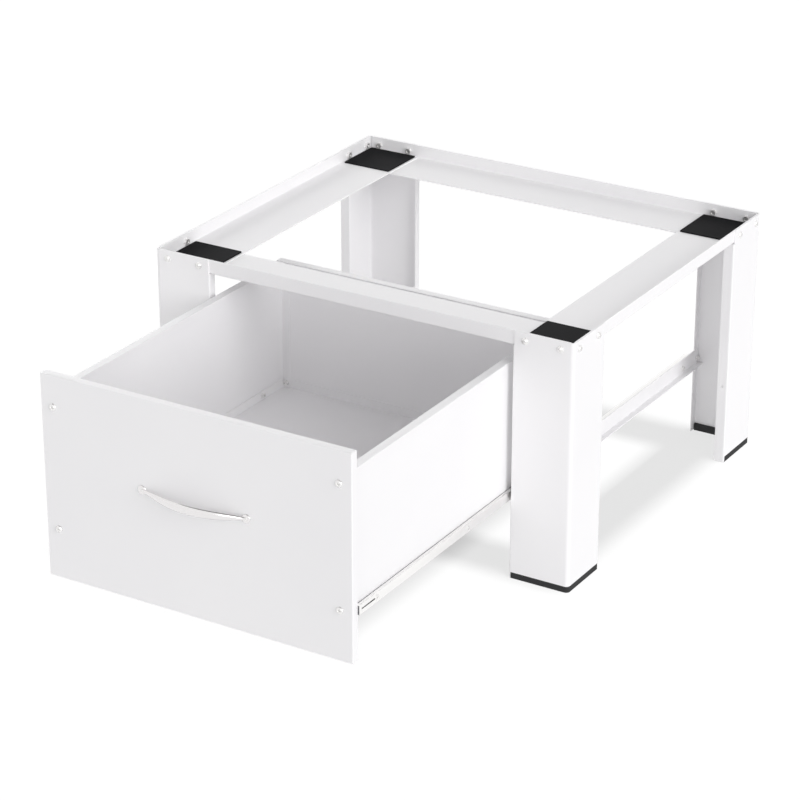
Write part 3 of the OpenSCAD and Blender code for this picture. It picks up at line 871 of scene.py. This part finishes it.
@dataclass
class Studio:
    """The camera, the lamps, the floor and the white surroundings.

    Places, sight and floor_size are in metres, angles and the widths of lamps in degrees, and
    the sensor in millimetres. flag_height and flag_blur are the Z of a ray's direction. The
    other values are shares of white. The floor's own shade is so dark that the lamps on the
    object hardly change it, and floor_light makes up for that.
    """

    image_width: int = 800
    focal_pixels: float = 2951.2
    sensor: float = 36.0
    camera_place: tuple[float, float, float] = (1.8616, -3.038275, 1.7580)
    azimuth: float = -31.239
    elevation: float = 24.044
    roll: float = 0.038
    sight: float = 60.0
    ambient: float = 0.587
    flag_height: float = 0.78
    flag_blur: float = 0.04
    flag_light: float = 0.12
    floor_size: float = 12.0
    floor_shade: float = 0.05
    floor_glow: float = 0.508
    floor_bounce: float = 0.24
    floor_light: float = 4.6
    frame_shadow_from: tuple[float, float, float] = (0.06, 0.0, 1.0)
    frame_shadow_width: float = 7.0
    drawer_shadow_from: tuple[float, float, float] = (0.8, -1.05, 1.0)
    drawer_shadow_width: float = 12.0
    lamps: tuple[Sun, ...] = (
        Sun("right_lamp", 0.492, (0.87, -0.33, 0.315), 36.0),
        Sun("front_lamp", 0.093, (0.2, -1.0, 0.18), 18.0),
        Sun("left_lamp", 0.526, (-0.8, 0.5, 0.25), 30.0),
    )

    def add_camera(self) -> None:
        """Sets the camera at the photograph's place and angle."""
        az, el, roll = (math.radians(a) for a in (self.azimuth, self.elevation, self.roll))
        ahead = Vector((math.sin(az) * math.cos(el), math.cos(az) * math.cos(el), -math.sin(el)))
        right = Vector((math.cos(az), -math.sin(az), 0.0))
        up = right.cross(ahead)
        right, up = (
            math.cos(roll) * right + math.sin(roll) * up,
            math.cos(roll) * up - math.sin(roll) * right,
        )
        turned = Matrix((right, up, -ahead)).transposed().to_4x4()
        data = bpy.data.cameras.new("photo_camera")
        data.sensor_fit = "HORIZONTAL"
        data.sensor_width = self.sensor
        data.lens = self.focal_pixels / self.image_width * self.sensor
        data.clip_end = self.sight
        camera = bpy.data.objects.new("photo_camera", data)
        camera.matrix_world = Matrix.Translation(Vector(self.camera_place)) @ turned
        bpy.context.scene.collection.objects.link(camera)
        bpy.context.scene.camera = camera

    def add_world(self) -> None:
        """Makes the surroundings white for the camera and for gloss, and dimmer as a lamp.

        A dark flag overhead, which only gloss sees, gives bright metal its thin dark lines.
        """
        world = bpy.data.worlds.new("white_room")
        world.use_nodes = True
        tree = world.node_tree
        tree.nodes.clear()
        glossy = add_node(tree, "ShaderNodeLightPath").outputs["Is Glossy Ray"]
        way = add_node(tree, "ShaderNodeTexCoord").outputs["Generated"]
        height = add_node(tree, "ShaderNodeSeparateXYZ", {"Vector": way}).outputs["Z"]
        flag = add_node(
            tree,
            "ShaderNodeMapRange",
            {
                "Value": height,
                "From Min": self.flag_height,
                "From Max": self.flag_height + self.flag_blur,
            },
        )
        shaded = add_node(
            tree, "ShaderNodeMath", {0: flag.outputs["Result"], 1: glossy}, operation="MULTIPLY"
        )
        level = add_node(
            tree,
            "ShaderNodeMapRange",
            {"Value": shaded.outputs["Value"], "To Min": 1.0, "To Max": self.flag_light},
        )
        lamp, white = (
            add_node(
                tree, "ShaderNodeBackground", {"Color": linear("ffffff"), "Strength": strength}
            ).outputs["Background"]
            for strength in (self.ambient, level.outputs["Result"])
        )
        mixed = add_node(tree, "ShaderNodeMixShader", {0: seen_directly(tree), 1: lamp, 2: white})
        add_node(tree, "ShaderNodeOutputWorld", {"Surface": mixed.outputs["Shader"]})
        bpy.context.scene.world = world

    def floor_material(self) -> bpy.types.Material:
        """Makes a matt floor that glows, more for the camera and for gloss than as a lamp.

        Returns:
            The floor's material.
        """
        material = empty_material("studio_floor")
        tree = material.node_tree
        level = add_node(
            tree,
            "ShaderNodeMapRange",
            {"Value": seen_directly(tree), "To Min": self.floor_bounce, "To Max": self.floor_glow},
        )
        matt = add_node(tree, "ShaderNodeBsdfDiffuse", {"Color": (self.floor_shade,) * 3 + (1.0,)})
        glow = add_node(
            tree,
            "ShaderNodeEmission",
            {"Color": linear("ffffff"), "Strength": level.outputs["Result"]},
        )
        both = add_node(
            tree, "ShaderNodeAddShader", {0: matt.outputs["BSDF"], 1: glow.outputs["Emission"]}
        )
        add_node(tree, "ShaderNodeOutputMaterial", {"Surface": both.outputs["Shader"]})
        return material

    def add_floor_lamp(
        self,
        name: str,
        floor: bpy.types.Object,
        come_from: tuple[float, float, float],
        width: float,
        shades: list[str],
    ) -> None:
        """Adds a lamp that shines on the floor alone, as brightly as one straight overhead.

        Args:
            name: The lamp's name.
            floor: The floor.
            come_from: The direction it comes from.
            width: How wide the lamp looks, in degrees.
            shades: The CAD nodes that throw a shadow in its light. No other piece does.
        """
        share = self.floor_light / Vector(come_from).normalized().z
        lamp = Sun(name, share, come_from, width).make()
        lit = bpy.data.collections.new(name + "_receivers")
        lit.objects.link(floor)
        caught = bpy.data.collections.new(name + "_shades")
        for node in shades:
            caught.objects.link(frame["nodes"][node])
        lamp.light_linking.receiver_collection = lit
        lamp.light_linking.blocker_collection = caught

    def add_floor(self) -> None:
        """Lays a white floor that keeps the object's soft shadow.

        Two lamps that shine on the floor alone lift it to white. The frame shades the one
        overhead, and the drawer's bottom the low one, so that the shadows end about where they
        do in the photograph.
        """
        form = bmesh.new()
        bmesh.ops.create_grid(form, x_segments=4, y_segments=4, size=self.floor_size)
        floor = mesh_piece("studio_floor", form, self.floor_material())
        self.add_floor_lamp(
            "floor_lamp",
            floor,
            self.frame_shadow_from,
            self.frame_shadow_width,
            frame["record"]["behaviour"]["bodies"]["pedestal"],
        )
        self.add_floor_lamp(
            "drawer_floor_lamp",
            floor,
            self.drawer_shadow_from,
            self.drawer_shadow_width,
            ["drawer_bottom"],
        )

    def build(self) -> None:
        """Sets up the whole studio."""
        self.add_camera()
        self.add_world()
        self.add_floor()
        for lamp in self.lamps:
            lamp.make()
        LOG.info("studio: camera, lamps, floor and surroundings")


def main() -> None:
    """Builds the classes in order."""
    logging.basicConfig(level=logging.INFO, format="%(name)s %(message)s")
    bpy.context.scene.view_settings.view_transform = "Standard"
    materials = {slot: finish.make() for slot, finish in FINISHES.items()}
    slots = {part["node"]: Slot(part["material_slot"]) for part in frame["record"]["subparts"]}
    for slot, material in materials.items():
        DressedNodes(tuple(name for name in slots if slots[name] is slot), material).build()
    # The slides' inner members get a painted dark line of shade along their top edge and front end,
    # by the drawer.
    low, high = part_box("slide_inner_right")
    shade_lined = replace(
        FINISHES[Slot.SLIDE], name="rolled_zinc_strip_painted_shade", shade_line_at=(low.y, high.z, low.x)
    )
    DressedNodes(("slide_inner_left", "slide_inner_right"), shade_lined.make()).build()
    PanScrews(materials[Slot.FASTENER]).build()
    BowHandle(materials[Slot.HANDLE]).build()
    Studio().build()


if __name__ == "__main__":
    main()
